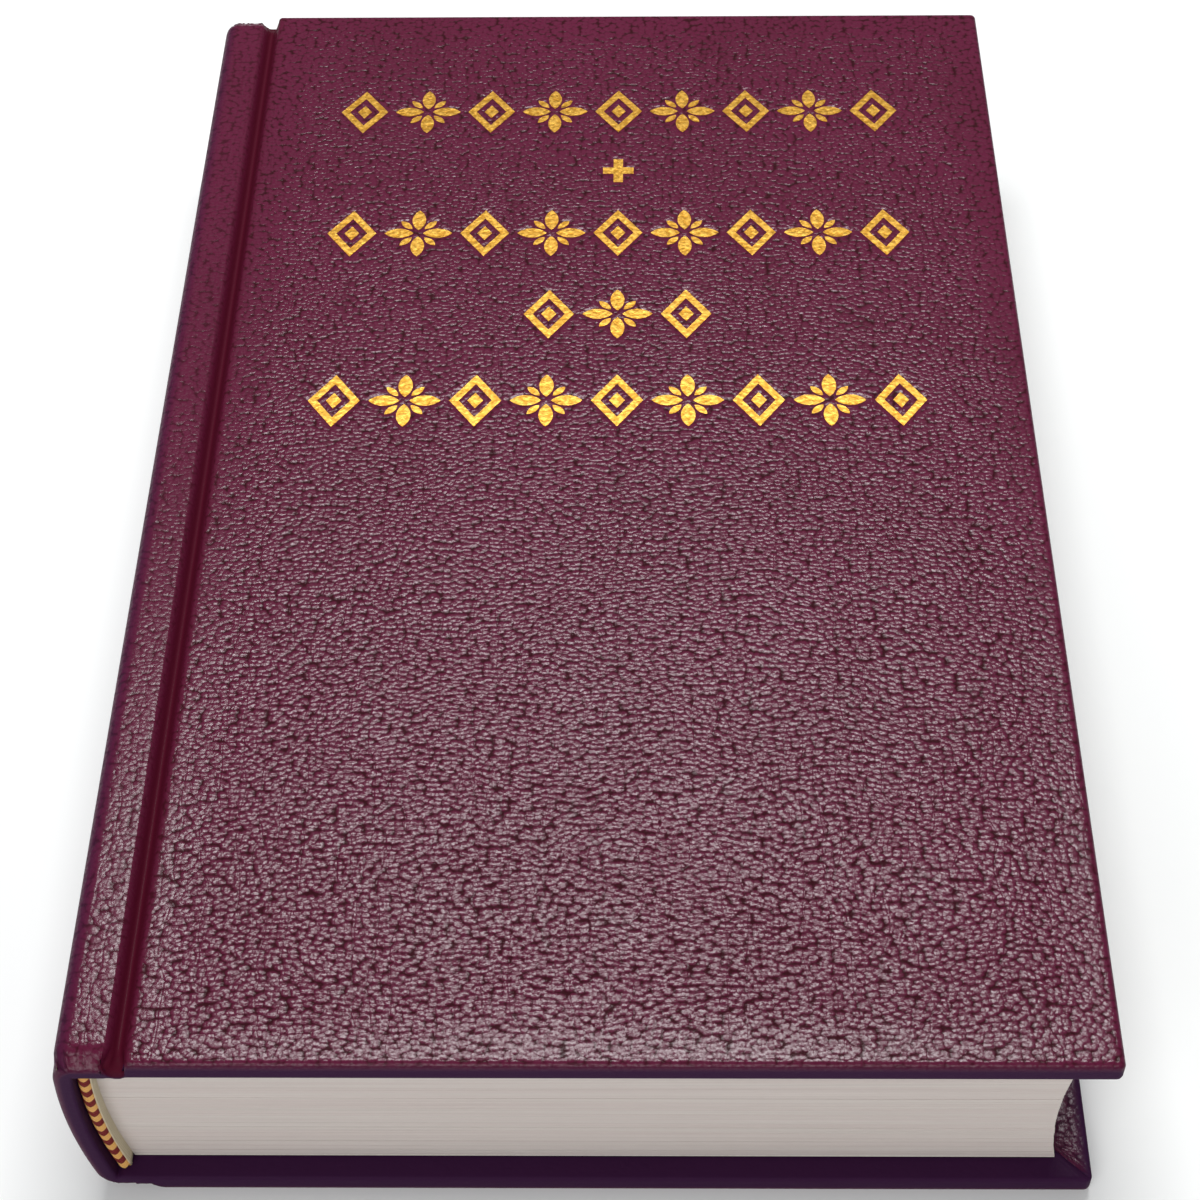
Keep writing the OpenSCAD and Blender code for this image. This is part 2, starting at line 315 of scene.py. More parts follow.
def furrows(n, where):
    """Long shallow furrows up and down the hide: below 1 in them, and 1 between them."""
    bent = n.drift(where, scale=0.1, amount=2.5, detail=1.0)
    strands = n.noise(n.scaled(bent, FURROW_SCALE), scale=1.0, detail=0.0)
    distance = n.math("ABSOLUTE", n.math("SUBTRACT", strands, 0.5))
    return n.span(distance, low=0.0, high=FURROW_W, to_low=FURROW_FLOOR, to_high=1.0)


def grain_at(sheet_points):
    """The grain's height at points of the unrolled leather, by the same nodes as its material."""
    probe = new_object("probe", sheet_points / MM, [])
    tree = bpy.data.node_groups.new("grain_probe", "GeometryNodeTree")
    tree.interface.new_socket("Geometry", in_out="INPUT", socket_type="NodeSocketGeometry")
    tree.interface.new_socket("Geometry", in_out="OUTPUT", socket_type="NodeSocketGeometry")
    n = Nodes(tree)
    source = n.add("NodeGroupInput")
    place = n.add("GeometryNodeInputPosition")
    keep = n.add("GeometryNodeStoreNamedAttribute", {
        "Geometry": source.outputs[0], "Name": "height",
        "Value": grain_height(n, place.outputs[0])}, data_type="FLOAT", domain="POINT")
    result = n.add("NodeGroupOutput")
    n.put(result.inputs[0], keep.outputs[0])
    probe.modifiers.new("grain", "NODES").node_group = tree
    evaluated = probe.evaluated_get(bpy.context.evaluated_depsgraph_get())
    height = np.zeros(len(sheet_points), np.float32)
    evaluated.data.attributes["height"].data.foreach_get("value", height)
    bpy.data.objects.remove(probe)
    bpy.data.node_groups.remove(tree)
    return height.astype(float)


# ---- the leather's path round the book, seen from the tail ----

GROOVE_BLUNT = 0.3
GROOVE_POWER = 1.5
ARC_POINTS, BEND_POINTS, BAND_POINTS, GROOVE_POINTS, COVER_POINTS = 400, 160, 80, 120, 400
PATH_STEP = 0.02
FACING_STEP = 0.15
INSIDE_EASE = 1.0


def groove_depth(t):
    """Depth of the pressed groove at a share t of its width: rounded shoulders and a tight bottom."""
    blunt = math.hypot(2 * t - 1, GROOVE_BLUNT) - GROOVE_BLUNT
    whole = math.hypot(1, GROOVE_BLUNT) - GROOVE_BLUNT
    return JOINT_DEPTH * (1 - blunt / whole) ** GROOVE_POWER


class Path:
    """The outside line of the case from the middle of the spine to a fore-edge, at distances s.

    The spine's curve ends at fillet_s, its shoulder's at band_s; the groove is from groove_s to joint_s.
    """

    def __init__(self, side):
        self.side = side
        rise = (book_t - round_z) if side == FRONT else round_z
        swing = math.asin((rise - SHOULDER_R) / (SPINE_R - SHOULDER_R))
        bend = (round_x - (SPINE_R - SHOULDER_R) * math.cos(swing), rise - SHOULDER_R)
        line = [(round_x - SPINE_R * math.cos(a), SPINE_R * math.sin(a))
                for a in np.linspace(0, swing, ARC_POINTS)]
        line += [(bend[0] - SHOULDER_R * math.cos(a), bend[1] + SHOULDER_R * math.sin(a))
                 for a in np.linspace(swing, math.pi / 2, BEND_POINTS)[1:]]
        line += [(x, rise) for x in np.linspace(bend[0], shoulder_x, BAND_POINTS)[1:]]
        line += [(shoulder_x + t * groove_w, rise - groove_depth(t))
                 for t in np.linspace(0, 1, GROOVE_POINTS)[1:]]
        line += [(x, rise) for x in np.linspace(joint_x, fore_x, COVER_POINTS)[1:]]
        line = np.array(line)
        length = np.concatenate([[0], np.cumsum(np.hypot(*np.diff(line, axis=0).T))])
        self.end = length[-1]
        self.s = np.linspace(0, self.end, int(self.end / PATH_STEP))
        self.x = np.interp(self.s, length, line[:, 0])
        self.z = round_z + side * np.interp(self.s, length, line[:, 1])
        self.fillet_s = SPINE_R * swing
        self.band_s = self.fillet_s + SHOULDER_R * (math.pi / 2 - swing)
        self.groove_s = self.at_x(shoulder_x)
        self.joint_s = self.at_x(joint_x)
        self.add_inside()

    def at_x(self, x):
        """Distance along the path to a place right of the rounded spine."""
        return self.s[len(self.s) - 1 - np.argmax(self.x[::-1] <= x)]

    def add_inside(self):
        """The case's inner line: flat under cover, groove and shoulder, then parallel to the spine."""
        inside = np.stack([self.x, self.z], 1) - self.outward(self.s) * CASE_BACK_T
        flat = self.s >= self.band_s
        flat_z = book_t - cover_t if self.side == FRONT else cover_t
        inside[flat] = np.stack([self.x[flat], np.full(flat.sum(), flat_z)], 1)
        ends = np.searchsorted(self.s, [self.fillet_s - INSIDE_EASE, self.band_s + INSIDE_EASE])
        bend = slice(*ends)
        for axis in (0, 1):
            inside[bend, axis] = np.linspace(*inside[ends, axis], ends[1] - ends[0])
        self.inside = inside
        self.thick = np.hypot(inside[:, 0] - self.x, inside[:, 1] - self.z)

    def thickness(self, s):
        """How thick the case is, from its outside to its inner line."""
        return np.interp(s, self.s, self.thick)

    def outward(self, s):
        """The outward direction of the outside line, as x and z."""
        dx, dz = (np.interp(s + FACING_STEP, self.s, line) - np.interp(s - FACING_STEP, self.s, line)
                  for line in (self.x, self.z))
        return np.stack([-dz, dx], 1) * (self.side / np.hypot(dx, dz))[:, None]

    def place(self, s, y, depth):
        """Points at depth under the outside line, and the outward direction there."""
        outside = [np.interp(s, self.s, line) for line in (self.x, self.z)]
        inside = [np.interp(s, self.s, self.inside[:, axis]) for axis in (0, 1)]
        share = depth / self.thickness(s)
        x, z = (a + (b - a) * share for a, b in zip(outside, inside))
        out = self.outward(s)
        return np.stack([x, y, z], 1), np.stack([out[:, 0], 0 * out[:, 0], out[:, 1]], 1)


# ---- the leather ----

# the mesh: an even grid, and a rim of rings round it that goes over the edge and under
RIM = 5.0
RIM_STEPS = (9, 4, 4, 3, 6)
GRID, BEND_GRID, GROOVE_GRID = 0.5, 0.3, 0.27
CORNER_STEPS, CORNER_ARC_STEPS = 8, 7
UNDER_R = 0.45
THIN = 0.02
LINING_RINGS = 3

# the relief, the dye, and the painted shade on the spine, edges and groove
GRAIN_DEPTH = 0.07
SPINE_GRAIN = 0.5
SHOULDER_LOSS = 0.12
SHOULDER_EASE = 2.0
GRAIN_REACH = (0.5, 9)
GROOVE_LOSS, GROOVE_BARE_W = 0.6, 1.3
EDGE_GRAIN = 0.3
HIDDEN_GRAIN = 0.2
TURN_IN_START = (3.0, 4.5)
# how much painted dark-purple shade, with less shine, lies on the rounded spine
SPINE_DULL_SHADE = 0.5
# painted shade along the groove's bottom: its strength and width
GROOVE_SHADE, GROOVE_SHADE_W = 1.3, 1.7
CAP_SINK, CAP_REACH = 1.3, 3.0
CAP_WRINKLE = 0.16
FILL_REACH = (1.2, 7)
MITRE_DEPTH, MITRE_W, MITRE_LONG = 0.18, 0.22, 12
DEBOSS = 0.10
DEBOSS_REACH = (0.05, 0.65)
TOOL_SEARCH = 0.8
TOOLED_GRAIN_LOSS = 0.8
UNDER_HOLD = 0.85


def even(low, high, step):
    """Values from low to high, spaced by about one step."""
    return np.linspace(low, high, max(2, int(round((high - low) / step)) + 1))


def stations_of(path):
    """Distances along the path where the leather has its rows, closer together on the bends."""
    parts = [even(0, path.fillet_s, GRID), even(path.fillet_s, path.band_s, BEND_GRID),
             even(path.band_s, path.groove_s, GRID), even(path.groove_s, path.joint_s, GROOVE_GRID),
             even(path.joint_s, path.end - RIM, GRID)]
    return np.concatenate([parts[0]] + [part[1:] for part in parts[1:]])


def corner_outline(path, end):
    """The outline round a cover's corner at the fore-edge's head or tail, and its outward directions."""
    insets = np.linspace(RIM, CORNER_R, CORNER_STEPS + 1)[1:]
    points = [(path.end - inset, end * half_h) for inset in insets]
    ways = [(0, end)] * len(insets)
    for a in np.linspace(0, math.pi / 2, CORNER_ARC_STEPS + 1)[1:-1]:
        way = (math.sin(a), end * math.cos(a))
        points.append((path.end - CORNER_R + CORNER_R * way[0],
                       end * (half_h - CORNER_R) + CORNER_R * way[1]))
        ways.append(way)
    points += [(path.end, end * (half_h - inset)) for inset in insets[::-1]]
    ways += [(1, 0)] * len(insets)
    return points, ways


def rim_samples(path, rows, columns):
    """Outline, outward direction and inner base of each sample round the leather's three free edges."""
    last, top = len(rows) - 1, len(columns) - 1
    low_corner, low_ways = corner_outline(path, TAIL)
    high_corner, high_ways = corner_outline(path, HEAD)
    low_edge = [(s, -half_h) for s in rows]
    fore_edge = [(path.end, y) for y in columns]
    high_edge = [(s, half_h) for s in rows[::-1]]
    pieces = (
        (low_edge, [(0, -1)] * len(rows), [(i, 0) for i in range(last + 1)]),
        (low_corner, low_ways, [(last, 0)] * len(low_corner)),
        (fore_edge, [(1, 0)] * len(columns), [(last, j) for j in range(top + 1)]),
        (high_corner[::-1], high_ways[::-1], [(last, top)] * len(high_corner)),
        (high_edge, [(0, 1)] * len(rows), [(i, top) for i in range(last, -1, -1)]),
    )
    outline, way, base = (np.concatenate(kind) for kind in zip(*pieces))
    return outline, way, base


def rim_profile(thick):
    """Steps from the base line over the edge and back under it.

    Each step: share of the way out to the rounding, distance beyond the rounding's start,
    depth, how far it faces outward, and how far it faces up.
    """
    top, arc, face, under_arc, under = RIM_STEPS
    steps = [(k / top, 0.0, np.zeros_like(thick), 0.0, 1.0) for k in range(1, top + 1)]
    for k in range(1, arc + 1):
        a = math.pi / 2 * k / arc
        drop = EDGE_R * (1 - math.cos(a))
        steps.append((1.0, EDGE_R * math.sin(a), drop + 0 * thick, math.sin(a), math.cos(a)))
    room = np.maximum(thick - UNDER_R, EDGE_R + THIN) - EDGE_R
    for k in range(1, face + 1):
        steps.append((1.0, EDGE_R, EDGE_R + room * k / face, 1.0, 0.0))
    end = EDGE_R + room
    for k in range(1, under_arc + 1):
        a = math.pi / 2 * k / under_arc
        reach = EDGE_R - UNDER_R * (1 - math.cos(a))
        steps.append((1.0, reach, end + (thick - end) * math.sin(a), math.cos(a), -math.sin(a)))
    for k in range(1, under + 1):
        steps.append((1 - k / under, 0.0, thick, 0.0, -1.0))
    return steps


def leather_shell(path):
    """The outside of half of the leather, before it is bent onto the case.

    flat is each point's place along the path and y, sheet its place on the unrolled leather,
    depth how far under the outside it is, outward and upward how far it faces each way.
    """
    rows = stations_of(path)
    columns = even(-half_h + RIM, half_h - RIM, GRID)
    s, y = (a.ravel() for a in np.meshgrid(rows, columns, indexing="ij"))
    outline, way, base = rim_samples(path, rows, columns)
    start = np.stack([rows[base[:, 0]], columns[base[:, 1]]], 1)
    edge = outline - way * EDGE_R
    thick = path.thickness(outline[:, 0])
    grid = np.stack([s, y], 1)
    layers = [(grid, grid, 0 * s, 0 * grid, 0 * s + 1)]
    top_length = np.hypot(*(edge - start).T)
    travelled = np.zeros(len(outline))
    before, before_deep = start, 0
    for share, beyond, deep, out, up in rim_profile(thick):
        here = start + (edge - start) * share + way * beyond
        travelled += np.hypot(np.hypot(*(here - before).T), deep - before_deep)
        before, before_deep = here, deep
        past = np.maximum(travelled - top_length, 0)
        unrolled = np.where(past[:, None] > 0, edge + way * past[:, None], here)
        layers.append((here, unrolled, deep, way * out, np.full(len(outline), up)))
    shell = dict(zip(("flat", "sheet", "depth", "outward", "upward"), map(np.concatenate, zip(*layers))))
    shell["faces"] = rim_faces((len(rows), len(columns)), base, len(outline))
    shell.update(rows=rows, columns=columns, outline=outline, way=way, thick=thick)
    return shell


def rim_faces(count, base, samples):
    """Faces of the main grid and of the rings round it."""
    faces = grid_faces(*count)
    grid_points = count[0] * count[1]
    inner = base[:, 0] * count[1] + base[:, 1]
    rings_index = [inner] + [grid_points + k * samples + np.arange(samples) for k in range(sum(RIM_STEPS))]
    for near, far in zip(rings_index, rings_index[1:]):
        for k in range(samples - 1):
            quad = [near[k], far[k], far[k + 1], near[k + 1]]
            if quad[0] == quad[3]:
                quad = quad[:3]
            faces.append([int(v) for v in quad])
    return faces


def vertex_normals(points, faces):
    """Normals of a mesh's points, weighted by the areas of the faces round them."""
    corners = np.array([face if len(face) == 4 else face + face[-1:] for face in faces])
    a, b, c, d = (points[corners[:, k]] for k in range(4))
    facing = np.cross(c - a, d - b)
    total = np.zeros_like(points)
    for k in range(4):
        for axis in range(3):
            total[:, axis] += np.bincount(corners[:, k], facing[:, axis], len(points))
    return total / np.maximum(np.linalg.norm(total, axis=1), 1e-12)[:, None]


def edge_distance(path, sheet):
    """How far inside the leather's free edges a point is; under 0 past them."""
    return np.minimum(half_h - np.abs(sheet[:, 1]), path.end - sheet[:, 0])


def grain_strength(path, sheet):
    """How deep the grain is: full on the covers, shallower at edges, groove, spine and turn-ins."""
    s = sheet[:, 0]
    inside = edge_distance(path, sheet)
    cover = SPINE_GRAIN + (1 - SPINE_GRAIN) * smooth(np.minimum(inside, s - path.joint_s), *GRAIN_REACH)
    spine = SPINE_GRAIN - SHOULDER_LOSS * smooth(s, path.fillet_s - SHOULDER_EASE, path.band_s)
    on_cover = smooth(s, path.groove_s, path.joint_s + 0.5)
    strength = spine + (cover - spine) * on_cover
    strength *= 1 - GROOVE_LOSS * bump_of(s, (path.groove_s + path.joint_s) / 2, GROOVE_BARE_W)
    turned_in = smooth(s - path.end, *TURN_IN_START)
    at_edge = EDGE_GRAIN + (1 - EDGE_GRAIN) * smooth(inside, -0.6, 1.2)
    return strength * np.maximum(at_edge, turned_in)


def dullness_and_painted_shade(path, sheet):
    """Where the leather gets painted dark-purple shade and loses its shine: on the rounded spine and past the
    edges.
    """
    spine = SPINE_DULL_SHADE * (1 - smooth(sheet[:, 0], path.band_s - 1.6, path.band_s + 0.4))
    past_end = 1 - smooth(half_h - np.abs(sheet[:, 1]), -0.9, 0.5)
    beyond = sheet[:, 0] - path.end
    past_fore = smooth(beyond, -0.5, 0.9) * (1 - 0.6 * smooth(beyond, *TURN_IN_START))
    return np.clip(np.maximum(np.maximum(spine, past_end), past_fore), 0, 1)


def groove_share(path, sheet):
    """Painted shade in the groove: 1 along its bottom, fading out over its sides."""
    middle = (path.groove_s + path.joint_s) / 2
    return np.clip(GROOVE_SHADE * bump_of(sheet[:, 0], middle + 0.2, GROOVE_SHADE_W), 0, 1)


def cap_fold(path, sheet):
    """How far the leather sinks where it folds over the ends of the shoulder, with its wrinkles."""
    s, y = sheet.T
    inside = half_h - np.abs(y)
    along = smooth(s, path.fillet_s - SHOULDER_EASE, path.fillet_s + 1.5)
    along = along * (1 - smooth(s, path.joint_s - 2.4, path.joint_s - 0.4))
    sink = CAP_SINK * along * (1 - smooth(inside, -0.6, CAP_REACH))
    slant = s + 0.6 * inside + 0.5 * np.sin(inside * 1.7)
    ripple = np.sin(slant * 4.1) + 0.6 * np.sin(slant * 7.3 + 1.3)
    return sink + CAP_WRINKLE * along * bump_of(inside, 0.8, 1.3) * (1 + ripple)


def groove_fill(side, path, sheet):
    """How far the turned-in leather fills the ends of the groove on the back of the book."""
    if side == FRONT:
        return np.zeros(len(sheet))
    across = (sheet[:, 0] - path.groove_s) / (path.joint_s - path.groove_s)
    depth = np.array([groove_depth(t) if 0 < t < 1 else 0.0 for t in across])
    return depth * (1 - smooth(half_h - np.abs(sheet[:, 1]), *FILL_REACH))


def mitre_crease(path, shell):
    """The crease on the turned-in leather where its two sides meet at a corner."""
    s, y = shell["flat"].T
    beyond = s - path.end + np.abs(y) - half_h
    across = (path.end - s) - (half_h - np.abs(y))
    turned_in = (shell["upward"] < -0.5) & (beyond > -MITRE_LONG)
    return np.where(turned_in, MITRE_DEPTH * bump_of(across, 0.0, MITRE_W), 0)


def tooling_depth(points, upward):
    """How much the leather is pressed in: 1 under the gold and less, down to 0, round it."""
    gold = frame["nodes"]["front_gilding"].data
    faces = [tuple(polygon.vertices) for polygon in gold.polygons]
    tree = BVHTree.FromPolygons([vertex.co for vertex in gold.vertices], faces)
    low, high = box_mm("front_gilding")
    near = np.all(points[:, :2] > low[:2] - 1, axis=1) & np.all(points[:, :2] < high[:2] + 1, axis=1)
    near &= upward > 0.5
    pressed = np.zeros(len(points))
    for k in np.nonzero(near)[0]:
        place = Vector((points[k, 0] * MM, points[k, 1] * MM, high[2] * MM))
        distance = tree.find_nearest(place, TOOL_SEARCH * MM)[3]
        if distance is not None:
            pressed[k] = 1 - smooth(distance / MM, *DEBOSS_REACH)
    return pressed


def shape_leather(side, path, shell):
    """Moves the shell's points onto the case and presses the grain into them.

    With the points come their upward directions, and their grain, unrolled place, and dullness with painted shade.
    """
    sheet = shell["sheet"]
    s, y = shell["flat"].T
    points, up = path.place(s, y, shell["depth"])
    along = np.stack([up[:, 2], np.zeros(len(up)), -up[:, 0]], 1) * side
    facing = up * shell["upward"][:, None] + along * shell["outward"][:, :1]
    facing[:, 1] += shell["outward"][:, 1]
    pressed = tooling_depth(points, shell["upward"]) if side == FRONT else np.zeros(len(points))
    strength = grain_strength(path, sheet) * (1 - TOOLED_GRAIN_LOSS * pressed)
    unrolled = np.stack([side * sheet[:, 0], sheet[:, 1], 0 * sheet[:, 0]], 1)
    carve = GRAIN_DEPTH * strength * (1 - grain_at(unrolled * MM))
    carve += DEBOSS * pressed + mitre_crease(path, shell)
    share = np.clip(shell["depth"] / path.thickness(s), 0, 1)
    sink = cap_fold(path, sheet) * (1 - UNDER_HOLD * share)
    sink -= groove_fill(side, path, sheet) * (shell["upward"] > -0.1)
    points = points - facing * carve[:, None] - up * sink[:, None]
    return points, up, strength, unrolled, dullness_and_painted_shade(path, sheet)


def add_lining(path, shell, points, up):
    """The inner skin that gives the leather its thickness: more points and faces."""
    samples = len(shell["outline"])
    rows = len(shell["rows"])
    rings = sum(RIM_STEPS)
    grid_points = rows * len(shell["columns"])
    lip_depth = np.maximum(shell["thick"] - TURN_IN_T, LEATHER_T + THIN)
    lip_start = grid_points + (rings - 1) * samples
    inner_edge = shell["outline"] - shell["way"] * LEATHER_T
    fold = cap_fold(path, shell["outline"])
    low = lip_depth + (1 - UNDER_HOLD * lip_depth / shell["thick"]) * fold
    high = np.minimum(LEATHER_T + fold, low)
    ring_1 = points[lip_start:] + up[lip_start:] * (shell["thick"] - lip_depth)[:, None]
    ring_2, ring_3 = (path.place(*inner_edge.T, depth)[0] for depth in (low, high))
    index = [lip_start + k * samples + np.arange(samples) for k in range(LINING_RINGS + 1)]
    faces = []
    for near, far in zip(index, index[1:]):
        faces += [[int(near[k]), int(far[k]), int(far[k + 1]), int(near[k + 1])]
                  for k in range(samples - 1)]
    inner = index[-1]
    for i in range(rows - 1):
        faces.append([int(inner[v]) for v in (i, samples - 1 - i, samples - 2 - i, i + 1)])
    faces.append([int(v) for v in inner[rows - 1:samples - rows + 1][::-1]])
    ends = [grid_points + k * samples for k in range(rings + LINING_RINGS)]
    faces.append(list(range(len(shell["columns"]))) + [e + samples - 1 for e in ends] + ends[::-1])
    return np.concatenate([points, ring_1, ring_2, ring_3]), faces


def seam_points(shell):
    """The shell's points on the spine's middle line, where the two halves of the leather meet."""
    samples = len(shell["outline"])
    grid_points = len(shell["rows"]) * len(shell["columns"])
    ends = grid_points + samples * np.arange(sum(RIM_STEPS))
    return np.concatenate([np.arange(len(shell["columns"])), ends, ends + samples - 1])


def make_leather(material):
    """The whole leather, as a front and a back half that meet along the middle of the spine."""
    made = {}
    for side in (FRONT, BACK):
        path = Path(side)
        shell = leather_shell(path)
        points, up, strength, unrolled, dull_and_shaded = shape_leather(side, path, shell)
        normals = side * vertex_normals(points, shell["faces"])
        made[side] = [path, shell, points, up, strength, unrolled, dull_and_shaded, normals]
    seams = {side: seam_points(made[side][1]) for side in made}
    shared = made[FRONT][-1][seams[FRONT]] + made[BACK][-1][seams[BACK]]
    shared /= np.linalg.norm(shared, axis=1)[:, None]
    halves = {}
    for side, (path, shell, points, up, strength, unrolled, dull_and_shaded, normals) in made.items():
        normals[seams[side]] = shared
        points, lining = add_lining(path, shell, points, up)
        faces = shell["faces"] + lining
        if side == BACK:
            faces = [face[::-1] for face in faces]
        name = "front_half_leather" if side == FRONT else "back_half_leather"
        obj = new_object(name, points, faces, material)
        extra = len(points) - len(normals)
        samples = len(shell["outline"])
        tail = np.tile(unrolled[-samples:], (extra // samples, 1))
        store(obj, "sheet", np.concatenate([unrolled, tail]))
        store(obj, "grain", np.concatenate([strength, np.full(extra, HIDDEN_GRAIN)]))
        # the mask of painted dark-purple shade and lost shine
        store(obj, "dull_and_shaded", np.concatenate([dull_and_shaded, np.ones(extra)]))
        # the mask of the groove's painted shade
        store(obj, "groove", np.concatenate([groove_share(path, shell["sheet"]), np.zeros(extra)]))
        shade_smooth(obj)
        hidden = np.tile(-side * up[-samples:], (extra // samples, 1))
        obj.data.normals_split_custom_set_from_vertices(np.concatenate([normals, hidden]).tolist())
        halves[side] = obj
    return halves


# ---- leaves ----

FORE_SQUARE = 5.6
FORE_R = 58.0
HOLLOW_DROP = 1.5
BUNDLES = 8
# the most that a section and its bundles stand out of line, along x and y
LEAN = (0.03, 0.02)
STAGGER = (0.02, 0.015)
NICK = 0.012
STATION_X = -56.2
BEND_LONG, BEND_STEP = 18, 0.9
FLAT_ROWS = [-20.0, 20.0]
FLYLEAF_SEED = 60


def fold_line(z):
    """X of the rounded line of folds at a height."""
    return round_x - math.sqrt((SPINE_R - FOLD_DEPTH) ** 2 - (z - round_z) ** 2)


def fore_line(z):
    """X of the hollow fore-edge at a height."""
    from_middle = z - book_t / 2 + HOLLOW_DROP
    return fore_x - FORE_SQUARE + FORE_R - math.sqrt(FORE_R ** 2 - from_middle ** 2)


def leaf_outline(z, inset, shift, turning):
    """Points round a leaf at height z: along its tail, back along its head, down its sewn folds.

    The second result is how many of them are along its tail.
    """
    inner, outer = fold_line(z) + inset, fore_line(z) + shift[0] - inset
    xs = [inner, STATION_X]
    if turning:
        xs += list(even(HINGE_X, HINGE_X + BEND_LONG, BEND_STEP)) + FLAT_ROWS
    xs.append(outer)
    tail, head = -half_block + shift[1] + inset, half_block + shift[1] - inset
    points = [(x, tail, z) for x in xs] + [(x, head, z) for x in xs[::-1]]
    pitch = 2 * half_block / (STATIONS + 1)
    for k in range(STATIONS, 0, -1):
        middle = -half_block + k * pitch
        for x, y in ((0, 1), (1, 1), (1, -1), (0, -1)):
            points.append((inner + x * GUTTER_KERF, middle + y * GUTTER_KERF / 2, z))
    return points, len(xs)


def leaf_stack(name, z0, z1, bundles, turning, material, seed):
    """A closed stack of leaves from z0 to z1; its bundles stand a little out of line."""
    draw = random.Random(seed)
    lean = [draw.uniform(-most, most) for most in LEAN]
    rings = []
    step = (z1 - z0) / bundles
    nick = min(NICK, step / 4)
    for k in range(bundles):
        shift = [start + draw.uniform(-most, most) for start, most in zip(lean, STAGGER)]
        low = z0 + k * step
        for z, inset in ((low, nick), (low + nick, 0), (low + step - nick, 0), (low + step, nick)):
            ring, across = leaf_outline(z, inset, shift, turning)
            rings.append(ring)
    size = len(rings[0])
    points = [point for ring in rings for point in ring]
    last = 2 * across - 1
    caps = [[0, 1, last - 1, last] + list(range(last + 1, size))]
    caps += [[i, i + 1, last - 1 - i, last - i] for i in range(1, across - 1)]
    top = (len(rings) - 1) * size
    faces = ring_faces(len(rings), size)
    faces += [cap[::-1] for cap in caps] + [[v + top for v in cap] for cap in caps]
    obj = new_object(name, points, faces, material)
    store(obj, "closed", points)
    return obj


def turn_with(obj):
    """Bakes the leaves' placement into their points."""
    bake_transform(obj)


ENDPAPER_T = 0.19
JOINT_STEP = 0.3
ENDPAPER_ROWS = 12


def make_pastedown(side, prefix, material):
    """The paper glued inside a cover, and on across the joint to the sewn folds."""
    low, high = box_mm(f"{prefix}_pastedown")
    z0, z1 = (low[2], low[2] + ENDPAPER_T) if side == FRONT else (high[2] - ENDPAPER_T, high[2])
    xs = list(even(STATION_X, low[0], JOINT_STEP)) + [high[0]]
    ys = even(low[1], high[1], ENDPAPER_ROWS)
    sheets = [[(x, y, z) for x in xs for y in ys] for z in (z0, z1)]
    size = len(xs) * len(ys)
    faces = [face[::-1] for face in grid_faces(len(xs), len(ys))]
    faces += grid_faces(len(xs), len(ys), start=size)
    rim = [i * len(ys) for i in range(len(xs))]
    rim += [size - len(ys) + j for j in range(1, len(ys))]
    rim += [(i + 1) * len(ys) - 1 for i in range(len(xs) - 2, -1, -1)]
    rim += list(range(len(ys) - 2, 0, -1))
    for a, b in zip(rim, rim[1:] + rim[:1]):
        faces.append([a, b, b + size, a + size])
    return new_object(f"{prefix}_pastedown_sheet", sheets[0] + sheets[1], faces, material)


# ---- headbands ----

GOLD_SILK, RED_SILK, CORD, TAPE = range(4)
BEAD_STATIONS = 40
BEAD_ENDS = (0.6, 0.2)
CORD_BITE = 0.12
WRAP = 0.41
WRAP_R = 0.19
WRAPS_PER_COLOUR = 3
CHEVRON = 1.5
LOOP_POINTS = 20
FRAYED_STRANDS = 16
FRAY_R = 0.55
STRAND_R = 0.09
STRAND_LENGTHS = (0.35, 1.1)
# the tape's corners: how far outside the bead's centre line, and how far beyond it along y
TAPE_SECTION = ((-0.95, 0.5), (-0.95, -9.0), (-0.72, -9.0), (-0.72, 0.5))
HEADBAND_SEED = 31
ASKEW = (0.31, 0.17, 0.93)


def tube(points, radius, sides, closed):
    """Points and faces of a round thread along a line that never runs the ASKEW way."""
    points = np.asarray(points, float)
    count = len(points)
    ahead = np.roll(points, -1, 0) - np.roll(points, 1, 0)
    if not closed:
        ahead[0], ahead[-1] = points[1] - points[0], points[-1] - points[-2]
    ahead /= np.linalg.norm(ahead, axis=1)[:, None]
    one = np.cross(ahead, np.array(ASKEW))
    one /= np.linalg.norm(one, axis=1)[:, None]
    two = np.cross(ahead, one)
    ring = []
    for k in range(sides):
        a = 2 * math.pi * k / sides
        ring.append(points + radius * (math.cos(a) * one + math.sin(a) * two))
    grid = np.stack(ring, 1).reshape(-1, 3)
    quads = ring_faces(count + 1 if closed else count, sides)
    faces = [[v % len(grid) for v in (a, d, c, b)] for a, b, c, d in quads]
    if not closed:
        faces.append(list(range(sides)))
        faces.append([(count - 1) * sides + k for k in range(sides)][::-1])
    return grid, faces


class Parts:
    """Collects pieces of mesh with a material number each."""

    def __init__(self):
        self.points, self.faces, self.numbers = [], [], []

    def add(self, points, faces, number):
        start = sum(len(p) for p in self.points)
        self.points.append(np.asarray(points, float))
        self.faces += [[v + start for v in face] for face in faces]
        self.numbers += [number] * len(faces)

    def build(self, name, materials):
        obj = new_object(name, np.concatenate(self.points), self.faces)
        for material in materials:
            obj.data.materials.append(material)
        obj.data.polygons.foreach_set("material_index", self.numbers)
        shade_smooth(obj)
        return obj


def headband_line(node, end):
    """The bead's centre line: the radius of its circle, its y, and the angles of its two ends."""
    low, high = box_mm(node)
    bead_r = HEADBAND_D / 2
    path_r = SPINE_R - CASE_BACK_T - BEAD_GAP - bead_r
    y = (high[1] - bead_r) if end == HEAD else (low[1] + bead_r)
    low_a = math.asin((low[2] + BEAD_ENDS[0] - round_z) / path_r)
    high_a = math.asin((high[2] - BEAD_ENDS[1] - round_z) / path_r)
    return path_r, y, low_a, high_a


